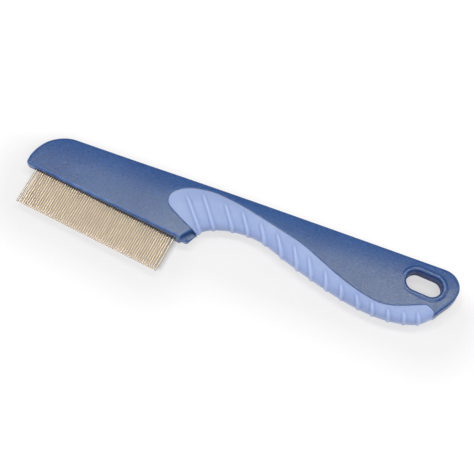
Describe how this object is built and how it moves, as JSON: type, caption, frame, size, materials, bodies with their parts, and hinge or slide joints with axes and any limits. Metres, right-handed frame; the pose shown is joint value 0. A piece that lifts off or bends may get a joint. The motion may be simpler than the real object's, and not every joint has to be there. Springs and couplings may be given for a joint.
{
  "type": "flea comb",
  "caption": "Hand comb with a row of fine straight steel pins along one edge, a flat moulded handle with a hang slot and a ribbed soft grip.",
  "frame": {"origin": "centre of the hang slot, at mid thickness", "axes": "+X along the straight back towards the handle end, +Y towards the back edge so the pins point to -Y, +Z out of the front face"},
  "size_m": [0.1846, 0.0413, 0.0098],
  "materials": {
    "body_plastic": "fine spark-eroded matte",
    "grip_rubber": "smooth matte soft-touch",
    "strip_steel": "mill finish, folded",
    "pin_steel": "drawn wire"
  },
  "bodies": {
    "root": {"handle_body": "body_plastic", "soft_grip": "grip_rubber", "pin_strip": "strip_steel", "comb_pins": "pin_steel", "guard_pin_nose": "pin_steel", "guard_pin_heel": "pin_steel"}
  },
  "joints": []
}
